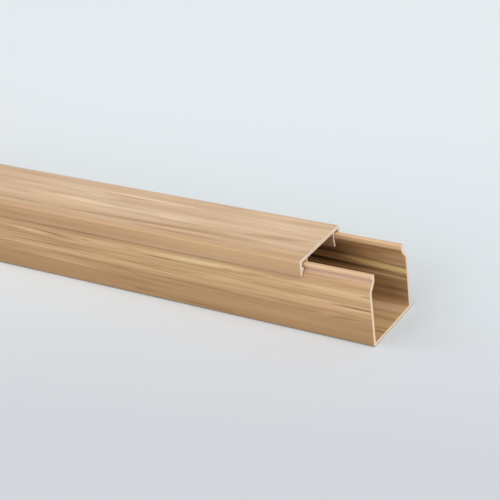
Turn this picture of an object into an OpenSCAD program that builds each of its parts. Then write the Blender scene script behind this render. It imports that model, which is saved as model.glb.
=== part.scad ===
// Cable trunking: an extruded channel with a clip-on lid.
// X runs along the length, Y across it and Z up. The origin is the middle of the base's underside.

/* [Trunking] */
// Length of the base and of the lid
trunking_l = 2000; // [200:10:4000]
// Width over the side walls of the base
trunking_w = 40; // [34:1:120]
// Height over everything, with the lid on
trunking_h = 40.6; // [24.6:1:120.6]
// How far the lid stands back from the front end of the base
lid_setback = 37.5; // [0:0.5:150]

/* [Base] */
// Thickness of the floor of the base
floor_t = 1.6; // [1:0.1:4]
// Thickness of the side walls of the base
wall_t = 1.8; // [1:0.1:2.6]
// Outer radius of the bottom corners
corner_r = 1.2; // [0.2:0.1:3]
// Inner radius of the two bends by which each side wall steps in
bend_r = 2; // [0.4:0.1:2.4]
// How far the bead stands out from the neck of the wall
bead_out = 0.9; // [0.7:0.1:1.2]
// Height of the bead
bead_h = 1.8; // [1:0.1:2]

/* [Lid] */
// Thickness of the top plate of the lid
lid_t = 1.8; // [1:0.1:3]
// Thickness of the skirts
skirt_t = 2; // [1.6:0.1:2.4]
// Height of the skirts, from the top of the lid
skirt_h = 8.7; // [7.5:0.1:10]
// Thickness of the lower edge of the skirts
lip_t = 0.7; // [0.6:0.1:0.8]
// How far the skirts stand proud of the side walls
skirt_proud = 0.1; // [0:0.1:1]
// Outer radius of the long top edges
lid_edge_r = 1.6; // [0.4:0.1:3]
// How far the barbs reach in from the skirts
barb_in = 1.4; // [1.2:0.1:2]
// Height of the blunt nose of the barbs
nose_h = 0.6; // [0.4:0.1:1]
// Thickness of the inner legs
leg_t = 1.2; // [0.8:0.1:2]
// Height of the inner legs, under the top plate
leg_h = 8; // [6:0.1:12]
// How far the tip of each leg leans out
leg_lean = 0.6; // [0.1:0.1:0.9]

/* [Fit] */
// Gap between the rim of the base and the underside of the lid
seat_gap = 0.7; // [0.1:0.05:1]
// Gap between the bead and the barb that catches under it
catch_gap = 0.3; // [0.1:0.05:0.6]
// Gap between the nose of the barb and the neck of the wall
nose_gap = 0.4; // [0.2:0.05:0.7]
// Gap between an inner leg and the neck of the wall
leg_gap = 0.35; // [0.2:0.05:0.8]
// How far under the nose of the barb the neck bends out
neck_drop = 0.6; // [0.5:0.1:2]
// How far under the skirts the side walls bend in
shoulder_drop = 1.2; // [1.1:0.1:3]

/* [Edges] */
// Radius of the small outer edges
edge_r = 0.25; // [0.1:0.05:0.3]
// Radius of the small inner corners
root_r = 0.4; // [0.1:0.1:0.5]

/* [Hidden] */

base_colour = "#BC9A74";
lid_colour = "#D2B596";

// Largest turn between two points of a rounded corner, in degrees
arc_turn = 15;

// Heights, from the top of the lid down
lid_under_z = trunking_h - lid_t;
rim_z = lid_under_z - seat_gap;
bead_z = rim_z - bead_h;
catch_z = bead_z - catch_gap;
nose_z = catch_z - nose_h;
neck_z = nose_z - neck_drop;
lip_z = trunking_h - skirt_h;
shoulder_z = lip_z - shoulder_drop;
leg_tip_z = lid_under_z - leg_h;

// Faces, from the outside in
wall_out = trunking_w / 2;
wall_in = wall_out - wall_t;
skirt_out = wall_out + skirt_proud;
skirt_in = skirt_out - skirt_t;
lip_in = skirt_out - lip_t;
nose_in = skirt_in - barb_in;
neck_out = nose_in - nose_gap;
neck_in = neck_out - wall_t;
bead_tip = neck_out + bead_out;
leg_out = neck_in - leg_gap;
leg_in = leg_out - leg_t;

// The slanted stretch between the two bends, and how much lower its inner face bends than its outer one
slant_angle = atan2(wall_out - neck_out, neck_z - shoulder_z);
bend_shift = wall_t * tan(slant_angle / 2);

function unit(v) = v / norm(v);

// The shorter way round from angle a to angle b
function turn(a, b) = (b - a + 540) % 360 - 180;

// The points that round the corner at p, whose third number is the radius, between its neighbours a and b
function corner(a, p, b) =
    let (
        at = [p[0], p[1]],
        u = unit([a[0], a[1]] - at),
        v = unit([b[0], b[1]] - at),
        half = acos(u * v) / 2,
        centre = at + unit(u + v) * p[2] / sin(half),
        from = at + u * p[2] / tan(half) - centre,
        to = at + v * p[2] / tan(half) - centre,
        start = atan2(from[1], from[0]),
        sweep = turn(start, atan2(to[1], to[0])),
        steps = ceil(abs(sweep) / arc_turn)
    )
    [for (i = [0:steps]) centre + p[2] * [cos(start + sweep * i / steps), sin(start + sweep * i / steps)]];

// The right half of an outline and its mirror image, with every corner rounded
function both_sides(half) =
    let (
        left = [for (i = [len(half) - 1:-1:0]) [-half[i][0], half[i][1], half[i][2]]],
        all = concat(half, left),
        n = len(all)
    )
    [for (i = [0:n - 1]) each corner(all[(i + n - 1) % n], all[i], all[(i + 1) % n])];

// The right half of the channel, from its underside round the rim to the floor: Y, Z and corner radius
base_half = [
    [wall_out, 0, corner_r],
    [wall_out, shoulder_z, bend_r + wall_t],
    [neck_out, neck_z, bend_r],
    [neck_out, bead_z, edge_r],
    [bead_tip, bead_z, edge_r],
    [bead_tip, rim_z, 2 * edge_r],
    [neck_in, rim_z, edge_r],
    [neck_in, neck_z - bend_shift, bend_r + wall_t],
    [wall_in, shoulder_z - bend_shift, bend_r],
    [wall_in, floor_t, root_r]
];

// The right half of the lid, from its top round the skirt, barb and leg to the underside of the plate
lid_half = [
    [skirt_out, trunking_h, lid_edge_r],
    [skirt_out, lip_z, edge_r],
    [lip_in, lip_z, edge_r],
    [nose_in, nose_z, edge_r],
    [nose_in, catch_z, edge_r],
    [skirt_in, catch_z, root_r],
    [skirt_in, lid_under_z, max(root_r, lid_edge_r - skirt_t)],
    [leg_out, lid_under_z, root_r],
    [leg_out, neck_z, leg_t],
    [leg_out + leg_lean, leg_tip_z, edge_r],
    [leg_out + leg_lean - leg_t, leg_tip_z, edge_r],
    [leg_in, neck_z, leg_t],
    [leg_in, lid_under_z, root_r]
];

// A strip of the given section, with its front end at front_x
module extrusion(half, front_x) {
    translate([front_x - trunking_l, 0, 0])
        rotate([90, 0, 90])
            linear_extrude(trunking_l)
                polygon(both_sides(half));
}

module base_channel() {
    color(base_colour)
        extrusion(base_half, trunking_l / 2);
}

module snap_lid() {
    color(lid_colour)
        extrusion(lid_half, trunking_l / 2 - lid_setback);
}

base_channel();
snap_lid();
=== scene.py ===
import math
import bpy
from mathutils import Matrix, Vector, noise


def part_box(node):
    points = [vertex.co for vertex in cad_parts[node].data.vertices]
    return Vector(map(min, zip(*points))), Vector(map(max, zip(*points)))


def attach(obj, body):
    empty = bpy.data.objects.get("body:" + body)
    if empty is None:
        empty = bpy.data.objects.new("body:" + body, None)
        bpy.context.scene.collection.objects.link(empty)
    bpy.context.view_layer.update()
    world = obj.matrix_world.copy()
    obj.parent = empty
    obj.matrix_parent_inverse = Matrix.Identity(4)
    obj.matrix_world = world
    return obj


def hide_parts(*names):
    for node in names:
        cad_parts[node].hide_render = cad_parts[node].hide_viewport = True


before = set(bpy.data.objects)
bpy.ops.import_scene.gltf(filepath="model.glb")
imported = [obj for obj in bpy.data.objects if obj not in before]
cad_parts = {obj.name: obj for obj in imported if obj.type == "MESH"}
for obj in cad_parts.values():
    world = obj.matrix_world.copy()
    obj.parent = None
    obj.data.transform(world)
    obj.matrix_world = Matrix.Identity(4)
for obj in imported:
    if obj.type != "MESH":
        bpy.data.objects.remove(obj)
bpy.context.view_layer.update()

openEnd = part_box("base_channel")[1].x * 1000  # the front end of the base, in mm


def tint(r, g, b):  # a screen colour, 0 to 255, as the linear colour that Blender takes
    part = [c / 255 for c in (r, g, b)]
    return [c / 12.92 if c <= 0.04045 else ((c + 0.055) / 1.055) ** 2.4 for c in part] + [1.0]


class Wire:  # one socket of a shader; maths on it adds the Math nodes
    def __init__(self, paint, socket):
        self.paint = paint
        self.socket = socket

    def maths(self, operation, a, b=0.0, clamp=False):
        return self.paint.add("ShaderNodeMath", {"operation": operation, "use_clamp": clamp}, {0: a, 1: b})

    def __add__(self, other):
        return self.maths("ADD", self, other)

    def __sub__(self, other):
        return self.maths("SUBTRACT", self, other)

    def __rsub__(self, other):
        return self.maths("SUBTRACT", other, self)

    def __mul__(self, other):
        return self.maths("MULTIPLY", self, other)

    def __truediv__(self, other):
        return self.maths("DIVIDE", self, other)

    def __pow__(self, other):
        return self.maths("POWER", self, other)

    def __abs__(self):
        return self.maths("ABSOLUTE", self)

    __radd__ = __add__
    __rmul__ = __mul__

    def held(self):  # kept between 0 and 1
        return self.maths("ADD", self, 0.0, clamp=True)

    def rise(self, low, high):  # 0 below low, 1 above high, soft between
        return self.paint.add("ShaderNodeMapRange", {"interpolation_type": "SMOOTHSTEP"},
                              {"Value": self, "From Min": low, "From Max": high})


class Paint:  # the nodes of one material or world
    def __init__(self, owner):
        self.owner = owner
        owner.use_nodes = True
        self.tree = owner.node_tree
        self.tree.nodes.clear()

    def add(self, kind, settings=None, sockets=None, out=0):
        node = self.tree.nodes.new(kind)
        for key, value in (settings or {}).items():
            if key == "stops":  # of a colour ramp
                while len(node.color_ramp.elements) < len(value):
                    node.color_ramp.elements.new(0.5)
                for stop, (place, colour) in zip(node.color_ramp.elements, value):
                    stop.position = place
                    stop.color = colour
            else:
                setattr(node, key, value)
        for key, value in (sockets or {}).items():
            if isinstance(value, Wire):
                self.tree.links.new(value.socket, node.inputs[key])
            else:
                node.inputs[key].default_value = value
        return Wire(self, node.outputs[out]) if node.outputs else None

    def mix(self, a, b, share):  # colours a and b
        return self.add("ShaderNodeMix", {"data_type": "RGBA"}, {0: share, 6: a, 7: b}, out=2)

    def place(self):  # object coordinates in mm
        metres = self.add("ShaderNodeTexCoord", out="Object")
        spot = self.add("ShaderNodeVectorMath", {"operation": "SCALE"}, {0: metres, "Scale": 1000.0})
        return [self.add("ShaderNodeSeparateXYZ", None, {0: spot}, out=i) for i in range(3)]

    def grain(self, along, across, size, seed, detail=2.0, rough=0.5):  # noise of a length and width in mm
        spot = self.add("ShaderNodeCombineXYZ", None, {0: along / size[0] + seed, 1: across / size[1] + 3.7 * seed})
        return self.add("ShaderNodeTexNoise", {"noise_dimensions": "2D"},
                        {"Vector": spot, "Scale": 1.0, "Detail": detail, "Roughness": rough})

    def finish(self, **sockets):
        named = {key.replace("_", " "): value for key, value in sockets.items()}
        shader = self.add("ShaderNodeBsdfPrincipled", None, named)
        self.add("ShaderNodeOutputMaterial", None, {"Surface": shader})
        return self.owner


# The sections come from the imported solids: the outline of the front end of a node, in mm, starting at a given spot
def endOutline(nodeName, start):
    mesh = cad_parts[nodeName].data
    front = max(v.co.x for v in mesh.vertices)
    seen = {}
    for face in mesh.polygons:
        spots = [mesh.vertices[i].co for i in face.vertices]
        if all(c.x > front - 1e-5 for c in spots):
            ring = [(round(c.y * 1000, 4), round(c.z * 1000, 4)) for c in spots]
            for a, b in zip(ring, ring[1:] + ring[:1]):
                seen[(a, b)] = True
    step = {a: b for a, b in seen if (b, a) not in seen}
    here = min(step, key=lambda p: (p[0] - start[0]) ** 2 + (p[1] - start[1]) ** 2)
    loop = [here]
    while step[loop[-1]] != here:
        loop.append(step[loop[-1]])
    return loop


def withMiddles(loop, longest):  # extra points on the long straight stretches
    points = []
    for a, b in zip(loop, loop[1:] + loop[:1]):
        count = max(1, math.ceil(math.dist(a, b) / longest))
        points += [(a[0] + (b[0] - a[0]) * i / count, a[1] + (b[1] - a[1]) * i / count) for i in range(count)]
    return points


def inward(loop):  # unit directions from the outline into the wall
    found = []
    for i in range(len(loop)):
        a, b = loop[i - 1], loop[(i + 1) % len(loop)]
        d = Vector((b[0] - a[0], b[1] - a[1])).normalized()
        found.append((-d.y, d.x))
    return found


def aroundOf(loop):  # distance round the outline at each point, with the whole way round at the end
    way = [0.0]
    for a, b in zip(loop, loop[1:] + loop[:1]):
        way.append(way[-1] + math.dist(a, b))
    return way


def aroundAt(loop, spot):  # distance round the outline at the point nearest to a spot
    best = (1e9, 0.0)
    way = aroundOf(loop)
    for i, (a, b) in enumerate(zip(loop, loop[1:] + loop[:1])):
        d = (b[0] - a[0], b[1] - a[1])
        t = ((spot[0] - a[0]) * d[0] + (spot[1] - a[1]) * d[1]) / (d[0] ** 2 + d[1] ** 2)
        t = min(1.0, max(0.0, t))
        gap = math.hypot(a[0] + t * d[0] - spot[0], a[1] + t * d[1] - spot[1])
        best = min(best, (gap, way[i] + t * math.dist(a, b)))
    return best[1]


# Where a strip lies in its bake picture: the long sides below, the middles of both cut ends side by side above
bakeSheet = dict(corner=(0.002, 0.004), size=(0.996, 0.89), backEnd=0.1, frontEnd=0.6, endFoot=0.91, perMm=0.002)


# A strip of the section between two ends, with a fine worn edge round each saw cut
def strip(name, loop, back, front, look, skin, cut):
    points = withMiddles(loop, look["longest"])
    turned = inward(points)
    way = aroundOf(points)
    n = len(points)
    edge = look["cutEdge"]
    lengths = round((front - back) / look["ring"])
    rings = [(back, edge), (back + edge, 0.0)]
    rings += [(back + (front - back) * i / lengths, 0.0) for i in range(1, lengths)]
    rings += [(front - edge, 0.0), (front, edge)]
    verts = []
    for x, tuck in rings:
        outward = 1 if x > 0 else -1
        for (y, z), (iy, iz) in zip(points, turned):
            grit = noise.noise(Vector((x * 0.01, y * 0.9, z * 0.9))) if tuck else 0.0  # the saw leaves it uneven
            uneven = look["rag"] * grit
            inset = tuck * (1 + uneven)
            verts.append((x + outward * min(0.0, edge * uneven), y + iy * inset, z + iz * inset))
    faces = []
    for r in range(len(rings) - 1):
        for i in range(n):
            j = (i + 1) % n
            faces.append((r * n + i, r * n + j, (r + 1) * n + j, (r + 1) * n + i))
    faces.append(tuple(reversed(range(n))))
    faces.append(tuple((len(rings) - 1) * n + i for i in range(n)))
    mesh = bpy.data.meshes.new(name)
    mesh.from_pydata([tuple(c / 1000 for c in v) for v in verts], [], faces)
    mesh.materials.append(skin)
    mesh.materials.append(cut)
    around = mesh.attributes.new("around", "FLOAT", "CORNER")
    bake = mesh.uv_layers.new(name="OFBake")
    total = way[-1]
    lastRow = len(rings) - 2
    left, foot = bakeSheet["corner"]
    wide, high = bakeSheet["size"]
    perMm = bakeSheet["perMm"]
    for face in mesh.polygons:
        row, i = divmod(face.index, n)
        capped = row > lastRow
        sawn = capped or row in (0, lastRow)
        face.material_index = 1 if sawn else 0
        face.use_smooth = not capped
        for corner in face.loop_indices:
            v = mesh.loops[corner].vertex_index
            x, y, z = verts[v]
            k = v % n
            s = total if not capped and k == 0 and i == n - 1 else way[k]
            around.data[corner].value = s
            if sawn:
                end = bakeSheet["backEnd"] if x < (back + front) / 2 else bakeSheet["frontEnd"]
                bake.data[corner].uv = (end + y * perMm, bakeSheet["endFoot"] + z * perMm)
            else:
                bake.data[corner].uv = (left + wide * (x - back) / (front - back), foot + high * s / total)
    mesh.update()
    for e in mesh.edges:  # crisp round the cut faces
        a, b = e.vertices[0] // n, e.vertices[1] // n
        if a == b and a in (0, len(rings) - 1):
            e.use_edge_sharp = True
    piece = bpy.data.objects.new(name, mesh)
    bpy.context.scene.collection.objects.link(piece)
    even = piece.modifiers.new("evenNormals", "WEIGHTED_NORMAL")
    even.keep_sharp = True
    return piece


# Each kind of streak: length and width in mm (None: the piece's own patch), and what is added to the piece's seed
streaks = dict(
    drift=((190, 24), 0.0), broad=(None, 1.3), middle=((110, 2.6), 2.9), fine=((50, 0.8), 4.1), rosy=((130, 6), 6.7),
    flame=((110, 4.2), 8.3), vein=((170, 5), 10.9), gate=((70, 9), 12.1), lines=((500, 0.5), 20.0))

# Marks are laid on in this order
markShades = ("umber", "honey", "straw", "peach", "cream", "blush", "mauve", "rose", "brown", "dark")


# Streaked plastic, drawn out along the length as the extruder mixes it; marks are single streaks, with some painted
# light and shade, laid on top
def streakedPvc(name, look, marks):
    p = Paint(bpy.data.materials.new(name))
    along = p.place()[0]
    around = p.add("ShaderNodeAttribute", {"attribute_name": "around"}, out="Fac")

    def streak(kind, across, detail=2.0, rough=0.5):
        size, shift = streaks[kind]
        return p.grain(along, across, size or look["patch"], look["seed"] + shift, detail, rough)

    wander = streak("drift", around, 1.0) - 0.5
    across = around + wander * look["drift"]
    broad = streak("broad", across)
    middle = streak("middle", across, 3.0, 0.55)
    fine = streak("fine", across)
    tone = 0.5 + (broad - 0.5) * look["broad"] + (middle - 0.5) * look["middle"] + (fine - 0.5) * look["fine"]
    colour = p.add("ShaderNodeValToRGB", {"stops": look["tones"]}, {0: tone})

    rosy = streak("rosy", across).rise(0.52, 0.72)
    colour = p.mix(colour, look["rose"], rosy * look["rosy"])
    flame = streak("flame", across).rise(0.60, 0.74)
    colour = p.mix(colour, look["honey"], flame * look["flames"])
    vein = 1 - abs(streak("vein", across, 1.0) - 0.5).rise(0.0, 0.03)
    gate = streak("gate", across, 1.0).rise(0.48, 0.62)
    colour = p.mix(colour, look["brown"], vein * gate * look["veins"])

    laid = around + wander * 0.8  # marks follow the drift only a little
    broken = 0.55 + fine * 0.9  # and the fine streaks show through them
    for shade in markShades:
        total = None
        for m in marks:
            if m["shade"] != shade:
                continue
            off = along - m["x"]
            u = off / m["long"]
            w = (laid - m["around"] - off * m["lean"]) / m["wide"]
            spot = ((1 - u * u - w * w).held() ** 0.8) * m["depth"]
            total = spot if total is None else total + spot
        if total is not None:
            colour = p.mix(colour, look[shade], (total * broken).held())

    lines = streak("lines", around, 1.0)
    bump = p.add("ShaderNodeBump", None, {"Strength": 0.12, "Distance": 0.0002, "Height": lines})
    return p.finish(Base_Color=colour, Roughness=look["rough"] + (middle - 0.5) * 0.16, Normal=bump)


# Pale plastic where the saw has been, scored on a slant
def sawnPvc(name, look):
    p = Paint(bpy.data.materials.new(name))
    x, y, z = p.place()
    run, drop = 0.8, 0.6  # the slant
    score = p.grain(y * run + z * drop, z * run - y * drop, (7, 0.3), look["seed"])
    speck = p.grain(y + x, z, (0.5, 0.5), look["seed"] + 5, 3.0)
    colour = p.mix(look["light"], look["shade"], (speck * 0.7 + score * 0.5 - 0.35).held())
    bump = p.add("ShaderNodeBump", None, {"Strength": 0.25, "Distance": 0.0002, "Height": speck + score})
    return p.finish(Base_Color=colour, Roughness=0.55 + speck * 0.2, Normal=bump)


# The first line is the mesh, in mm: rings along it, points round it, the worn edge of the saw cuts and its unevenness
# allAlong: streaks, painted light and painted shade of the whole length, on the near side (-1), the far side (1) or
# both: y and z, half width, depth
# marks: streaks and some painted shade, from one end to the other, x in mm from the open end, y and z in the section;
# half width, depth
base = dict(
    ring=40.0, longest=3.0, cutEdge=0.15, rag=0.5,
    seed=3.1, drift=4.0, patch=(240, 9), broad=0.5, middle=0.6, fine=0.6, rough=0.46,
    rosy=0.25, flames=0.3, veins=0.4,
    sawn=dict(seed=7.3, light=tint(254, 227, 194), shade=tint(244, 207, 168)),
    tones=[(0.2, tint(156, 118, 74)), (0.42, tint(184, 145, 100)),
           (0.56, tint(197, 158, 112)), (0.8, tint(216, 181, 134))],
    honey=tint(217, 184, 128), cream=tint(226, 193, 150), blush=tint(220, 183, 147), rose=tint(205, 158, 123),
    # dark serves only the inside of the far wall, as deep streaks and painted shade
    brown=tint(134, 97, 54), umber=tint(150, 112, 68), dark=tint(66, 42, 14), straw=tint(246, 216, 148),
    peach=tint(242, 201, 157), mauve=tint(204, 168, 142),
    allAlong=[
        # lighter high on the near wall and darker towards the floor and inside, partly painted light and shade; a
        # painted shadow under the lid's lip; pale rims and dull pink necks
        ("umber", (-1, 1), 20, 2, 14, 0.66), ("umber", (-1, 1), 18.2, 15, 14, 0.12),
        # the umber row at z 31.4 is a painted shadow under the lid's lip
        ("umber", (-1, 1), 19.4, 31.4, 2.6, 0.55), ("blush", (-1, 1), 18.3, 33.0, 1.6, 0.2),
        ("mauve", (-1, 1), 16.6, 35.1, 2.0, 0.85), ("blush", (-1, 1), 17.2, 37.6, 2.2, 0.95),
        ("peach", (-1, 1), 14.5, 37.1, 2.0, 0.85), ("rose", (-1, 1), 14.5, 36.6, 1.6, 0.3),
        ("cream", (-1,), 20, 26, 6, 0.12),
    ],
    marks=[
        # upper half of the near wall
        ("honey", (-140, -20, 27.6), (-52, -20, 28.8), 1.8, 0.85),
        ("cream", (-120, -20, 27.8), (-74, -20, 28.4), 1.0, 0.75),
        ("brown", (-136, -20, 26.3), (-108, -20, 25.8), 0.5, 0.7),
        ("brown", (-120, -20, 25.7), (-76, -20, 25.0), 0.45, 0.4),
        ("honey", (-46, -20, 28.4), (22, -20, 27.0), 3.6, 0.42),
        ("cream", (-46, -20, 28.6), (2, -20, 27.6), 1.4, 0.3), ("brown", (-7, -20, 27.7), (8, -20, 27.8), 0.5, 0.8),
        ("umber", (-52, -20, 24.0), (24, -20, 23.4), 2.0, 0.3),
        ("cream", (-226, -20, 26.9), (-196, -20, 25.4), 1.1, 0.5),
        ("brown", (-208, -20, 27.9), (-180, -20, 25.8), 0.55, 0.9),
        ("brown", (-177, -20, 27.4), (-168, -20, 27.4), 0.5, 0.5),
        ("brown", (-86, -20, 27.5), (-78, -20, 27.5), 0.5, 0.55),
        ("brown", (-74, -20, 27.8), (-56, -20, 28.0), 0.5, 0.5),
        ("rose", (-66, -20, 26.9), (-52, -20, 26.4), 1.0, 0.5),
        ("brown", (-43, -20, 26.6), (-36, -20, 26.4), 0.5, 0.35),
        ("cream", (-186, -20, 27.2), (-140, -20, 27.2), 1.6, 0.35),
        ("brown", (-250, -20, 23.9), (-90, -20, 23.0), 0.5, 0.35),
        ("brown", (-110, -20, 22.8), (2, -20, 21.8), 0.5, 0.45),
        # middle of the near wall
        ("cream", (-44, -20, 20.9), (-16, -20, 20.9), 0.6, 0.55),
        ("blush", (-14, -20, 21.4), (6, -20, 21.6), 0.4, 0.5),
        ("brown", (-24, -20, 20.0), (16, -20, 20.1), 0.65, 0.9),
        ("cream", (-28, -20, 18.7), (14, -20, 18.7), 0.7, 0.5),
        ("rose", (-44, -20, 16.6), (-18, -20, 18.0), 1.5, 0.7),
        ("rose", (-32, -20, 13.2), (-16, -20, 14.6), 1.5, 0.5),
        ("brown", (-26, -20, 12.0), (-6, -20, 13.6), 0.5, 0.4),
        ("umber", (-60, -20, 15.2), (20, -20, 15.2), 1.4, 0.35),
        ("brown", (-234, -20, 19.4), (-160, -20, 20.4), 0.9, 0.5),
        ("rose", (-190, -20, 18.6), (-166, -20, 20.6), 1.1, 0.45),
        ("cream", (-260, -20, 17.3), (-160, -20, 17.2), 0.8, 0.5),
        ("brown", (-250, -20, 15.9), (-200, -20, 15.6), 0.5, 0.4),
        ("brown", (-206, -20, 15.4), (-150, -20, 14.6), 0.6, 0.5),
        ("brown", (-160, -20, 14.4), (-60, -20, 13.6), 0.5, 0.45),
        ("brown", (-145, -20, 18.2), (-108, -20, 18.2), 0.5, 0.35),
        ("brown", (-96, -20, 16.8), (-28, -20, 16.0), 0.5, 0.4),
        # foot of the near wall
        ("cream", (-218, -20, 11.0), (-160, -20, 10.7), 0.8, 0.35),
        ("brown", (-150, -20, 11.8), (-100, -20, 11.2), 0.5, 0.5),
        ("umber", (-146, -20, 3.2), (-130, -20, 4.0), 0.8, 0.5),
        ("umber", (-125, -20, 2.6), (-80, -20, 2.2), 0.8, 0.4),
        # step of the near wall at the open end
        ("rose", (-50, -17.0, 34.6), (12, -17.0, 34.6), 0.6, 0.3),
        ("umber", (-60, -17.9, 33.5), (-2, -17.9, 33.5), 1.3, 0.3),
        ("brown", (-50, -18.8, 32.2), (4, -18.8, 32.2), 0.35, 0.45),
        # inside of the far wall, under the rim and down; its dark rows and the umber under the rim are partly painted
        # shade: under the rim's ledge, under the lid and lower in the channel
        ("dark", (-70, 14.5, 34.8), (10, 14.5, 34.9), 0.9, 0.4),
        ("umber", (-20, 14.5, 35.6), (16, 14.5, 35.5), 1.1, 0.5),
        ("dark", (-80, 15.2, 33.4), (-20, 15.2, 33.4), 1.4, 0.4),
        ("honey", (-18, 17.2, 30.6), (18, 17.2, 30.6), 4.2, 0.5),
        ("dark", (-90, 18.2, 28.0), (-20, 18.2, 28.0), 4.4, 0.55),
        ("rose", (-28, 18.2, 28.0), (-12, 18.2, 27.6), 0.7, 0.6),
        ("dark", (-60, 18.2, 25.5), (-18, 18.2, 25.4), 1.0, 0.5),
        ("straw", (-37, 18.2, 23.5), (19, 18.2, 20.3), 1.9, 0.95),
        ("cream", (-18, 18.2, 25.0), (10, 18.2, 25.0), 0.8, 0.6),
        ("dark", (-95, 18.2, 21.3), (-6, 18.2, 19.6), 1.0, 0.9),
        ("dark", (-90, 18.2, 19.6), (-12, 18.2, 18.8), 1.3, 0.5),
        ("cream", (-28, 18.2, 18.1), (8, 18.2, 16.8), 0.7, 0.8),
        ("dark", (-70, 18.2, 16.2), (-8, 18.2, 15.0), 0.9, 0.5),
        ("dark", (-24, 18.2, 10.6), (8, 18.2, 9.8), 1.6, 0.45),
        ("umber", (-60, 18.2, 13.0), (8, 18.2, 12.0), 5.0, 0.6),
        ("umber", (-40, 18.2, 6.0), (8, 18.2, 6.0), 2.4, 0.6), ("blush", (-24, 18.2, 2.6), (8, 18.2, 2.6), 1.0, 0.8),
        # inside floor
        ("blush", (-26, 14, 1.6), (8, 13, 1.6), 4.2, 0.75), ("umber", (-26, 10.4, 1.6), (8, 10.2, 1.6), 0.9, 0.4),
        ("umber", (-26, 4.2, 1.6), (8, 3.4, 1.6), 2.0, 0.45), ("honey", (-20, 6.5, 1.6), (10, 6.5, 1.6), 2.0, 0.35),
        ("honey", (-16, -2, 1.6), (8, -3, 1.6), 2.4, 0.3), ("brown", (-10, -8, 1.6), (8, -9, 1.6), 0.8, 0.7),
    ])

lid = dict(
    ring=40.0, longest=3.0, cutEdge=0.15, rag=0.5,
    seed=41.7, drift=4.0, patch=(130, 8), broad=0.5, middle=0.45, fine=0.5, rough=0.42,
    rosy=0.35, flames=0.3, veins=0.15,
    sawn=dict(seed=7.3, light=tint(255, 236, 214), shade=tint(248, 217, 188)),
    tones=[(0.2, tint(174, 139, 104)), (0.42, tint(199, 165, 129)),
           (0.58, tint(212, 179, 144)), (0.8, tint(226, 198, 164))],
    honey=tint(218, 182, 131), cream=tint(236, 208, 172), rose=tint(206, 163, 136), brown=tint(158, 113, 69),
    umber=tint(172, 127, 78),
    allAlong=[
        # a browner near quarter, partly painted shade that dulls the light on the near rounded edge, and browner
        # skirts
        ("umber", (-1,), 17, 40.6, 9, 0.38), ("umber", (-1, 1), 20.1, 34, 8, 0.42),
    ],
    marks=[
        # near skirt
        ("honey", (-150, -20.1, 37.4), (-10, -20.1, 37.4), 3.4, 0.35),
        ("umber", (-330, -20.1, 34.4), (-110, -20.1, 34.0), 3.0, 0.3),
        # far half
        ("cream", (-190, 11.0, 40.6), (-104, 10.2, 40.6), 0.9, 0.9),
        ("umber", (-182, 8.8, 40.6), (-138, 8.6, 40.6), 1.1, 0.5),
        ("rose", (-154, 5.8, 40.6), (-88, 4.2, 40.6), 2.4, 0.7),
        ("cream", (-194, 5.6, 40.6), (-162, 4.8, 40.6), 1.6, 0.4),
        ("umber", (-254, 14.6, 40.6), (-214, 14.0, 40.6), 0.8, 0.4),
        ("umber", (-150, 13.6, 40.6), (-100, 13.6, 40.6), 0.8, 0.3),
        # middle
        ("honey", (-226, -2.6, 40.6), (-184, -4.4, 40.6), 2.6, 0.55),
        ("cream", (-206, -1.4, 40.6), (-158, -3.4, 40.6), 2.4, 0.6),
        ("cream", (-138, -2.6, 40.6), (-110, -3.8, 40.6), 2.0, 0.45),
        ("honey", (-118, -2.2, 40.6), (-94, -5.0, 40.6), 2.0, 0.4),
        ("umber", (-82, -5.2, 40.6), (-38, -1.0, 40.6), 2.4, 0.5),
        ("brown", (-72, -4.4, 40.6), (-42, -2.2, 40.6), 0.8, 0.3),
        # near quarter
        ("rose", (-172, -9.8, 40.6), (-140, -10.6, 40.6), 1.6, 0.7),
        ("brown", (-206, -13.8, 40.6), (-72, -9.6, 40.6), 1.5, 0.6),
        ("honey", (-140, -13.4, 40.6), (-78, -13.2, 40.6), 1.0, 0.6),
        ("brown", (-148, -15.6, 40.6), (-80, -15.8, 40.6), 0.8, 0.7),
        ("brown", (-242, -12.6, 40.6), (-200, -13.6, 40.6), 1.0, 0.5),
        ("honey", (-262, -15.4, 40.6), (-190, -15.6, 40.6), 1.4, 0.5),
        ("cream", (-74, -9.6, 40.6), (-30, -8.6, 40.6), 2.4, 0.35),
        ("honey", (-62, -14.0, 40.6), (-30, -14.0, 40.6), 2.4, 0.4),
    ])


def markList(look, loop):  # both kinds of mark, streaks and painted light and shade, with their places round the outline
    reach = 4000  # mm, well past both ends
    rows = [(shade, (-reach, side * y, z), (reach, side * y, z), wide, depth)
            for shade, sides, y, z, wide, depth in look["allAlong"] for side in sides]
    found = []
    for shade, one, two, wide, depth in rows + look["marks"]:
        a, b = aroundAt(loop, one[1:]), aroundAt(loop, two[1:])
        run = two[0] - one[0]
        found.append(dict(shade=shade, x=openEnd + (one[0] + two[0]) / 2, around=(a + b) / 2, long=run / 2,
                          lean=(b - a) / run, wide=wide, depth=depth))
    return found


for name, node, body, slot, look, start in (
        ("channel", "base_channel", "base", "base_pvc", base, (0, 0)),
        ("cover", "snap_lid", "lid", "lid_pvc", lid, (0, 38.8))):
    loop = endOutline(node, start)
    low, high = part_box(node)
    skin = streakedPvc(name + "_pvc", look, markList(look, loop))
    cut = sawnPvc(name + "_sawn", look["sawn"])
    piece = strip(name, loop, low.x * 1000, high.x * 1000, look, skin, cut)
    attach(piece, body)
    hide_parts(node)
    print(name, "section points", len(loop), "faces", len(piece.data.polygons))


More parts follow.
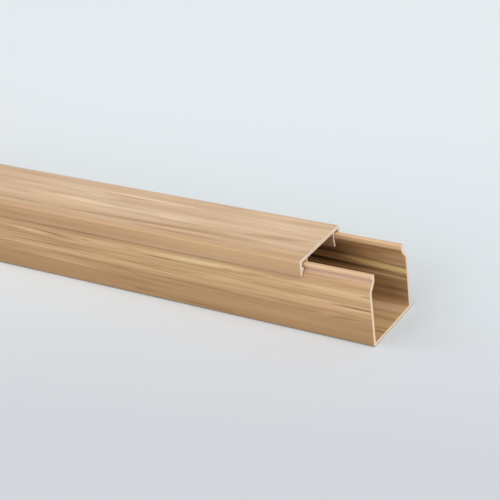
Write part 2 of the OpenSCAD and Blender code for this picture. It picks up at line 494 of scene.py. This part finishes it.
# Floor, light and camera
studio = dict(
    # plain pale paper with a painted falloff of light, greyer towards the camera and, as painted shade, in a soft
    # patch in front of the open end:
    # stops in mm from the middle of the picture, away from the camera, the slant of the picture across the floor, and
    # how far the grey reaches
    plain=tint(224, 228, 231), fibre=tint(196, 199, 203), middle=(960, -50), slant=0.235, around=(1100, 900),
    paper=[(-110, tint(206, 209, 213)), (-40, tint(213, 216, 220)),
           (20, tint(221, 226, 229)), (250, tint(228, 232, 235))],
    side=8.0, cells=8, drop=0.0002,
    sky=(0.95, 0.98, 1.0, 1.0), skyLevel=0.46, seen=tint(232, 237, 240),
    # soft lights, far off so that they are even over the whole length: direction, width in degrees, strength
    lamps=[("front", (-0.3, -1.0, 0.36), 50, 0.965), ("left", (-1.0, -0.35, 0.5), 33, 0.57),
           ("overhead", (0.2, -0.1, 1.0), 28, 1.18), ("right", (1.0, -0.25, 0.35), 33, 0.54)],
    # the photograph's camera: yaw, tilt and roll in degrees, lens in mm, place in m
    turn=(35.36, 28.7, -7.57), lens=103.9, place=(1.29665, -0.53099, 0.38464))


def floorSheet():
    side, cells, row = studio["side"], studio["cells"], studio["cells"] + 1
    steps = [-side + 2 * side * i / cells for i in range(row)]
    verts = [(x, y, -studio["drop"]) for y in steps for x in steps]
    faces = [(j * row + i, j * row + i + 1, (j + 1) * row + i + 1, (j + 1) * row + i)
             for j in range(cells) for i in range(cells)]
    mesh = bpy.data.meshes.new("floor")
    mesh.from_pydata(verts, [], faces)
    p = Paint(bpy.data.materials.new("floor_paper"))
    x, y = p.place()[:2]
    middleX, middleY = studio["middle"]
    # painted shade: the floor darkens towards the camera and greys in a soft patch in front of the open end
    away = y - (x - middleX) * studio["slant"]
    low, high = studio["paper"][0][0], studio["paper"][-1][0]
    stops = [((mm - low) / (high - low), colour) for mm, colour in studio["paper"]]
    colour = p.add("ShaderNodeValToRGB", {"stops": stops}, {0: (away - low) / (high - low)})
    u, v = (x - middleX) / studio["around"][0], (y - middleY) / studio["around"][1]
    colour = p.mix(studio["plain"], colour, (1 - u * u - v * v).held() ** 2)
    colour = p.mix(colour, studio["fibre"], p.grain(x, y, (1.5, 1.5), 2.2) * 0.06)
    mesh.materials.append(p.finish(Base_Color=colour, Roughness=0.9))
    floor = bpy.data.objects.new("floor", mesh)
    bpy.context.scene.collection.objects.link(floor)


def studioLight():
    world = bpy.data.worlds.new("studio")
    bpy.context.scene.world = world
    p = Paint(world)
    direct = p.add("ShaderNodeLightPath", out="Is Camera Ray")
    for ray in ("Is Glossy Ray", "Is Transmission Ray"):
        direct = direct + p.add("ShaderNodeLightPath", out=ray)
    dome = p.add("ShaderNodeBackground", None, {"Color": studio["sky"], "Strength": studio["skyLevel"]})
    wall = p.add("ShaderNodeBackground", None, {"Color": studio["seen"], "Strength": 1.0})
    both = p.add("ShaderNodeMixShader", None, {0: direct.held(), 1: dome, 2: wall})
    p.add("ShaderNodeOutputWorld", None, {"Surface": both})
    for name, toward, width, strength in studio["lamps"]:
        lamp = bpy.data.lights.new(name, "SUN")
        lamp.angle = math.radians(width)
        lamp.energy = strength
        holder = bpy.data.objects.new(name, lamp)
        holder.location = Vector(toward) * 3
        holder.rotation_euler = Vector(toward).to_track_quat("Z", "Y").to_euler()
        bpy.context.scene.collection.objects.link(holder)


def photoCamera():
    yaw, tilt, roll = (math.radians(a) for a in studio["turn"])
    back = Vector((math.sin(yaw) * math.cos(tilt), -math.cos(yaw) * math.cos(tilt), math.sin(tilt)))
    level = Vector((math.cos(yaw), math.sin(yaw), 0))
    rise = back.cross(level)
    right = level * math.cos(roll) + rise * math.sin(roll)
    up = rise * math.cos(roll) - level * math.sin(roll)
    lens = bpy.data.cameras.new("photoView")
    lens.lens = studio["lens"]
    lens.sensor_width = 36.0
    lens.clip_start = 0.01
    holder = bpy.data.objects.new("photoView", lens)
    holder.matrix_world = Matrix((right, up, back)).transposed().to_4x4()
    holder.location = studio["place"]
    bpy.context.scene.collection.objects.link(holder)
    bpy.context.scene.camera = holder


floorSheet()
studioLight()
photoCamera()
bpy.context.scene.view_settings.view_transform = "Standard"
print("studio ready")
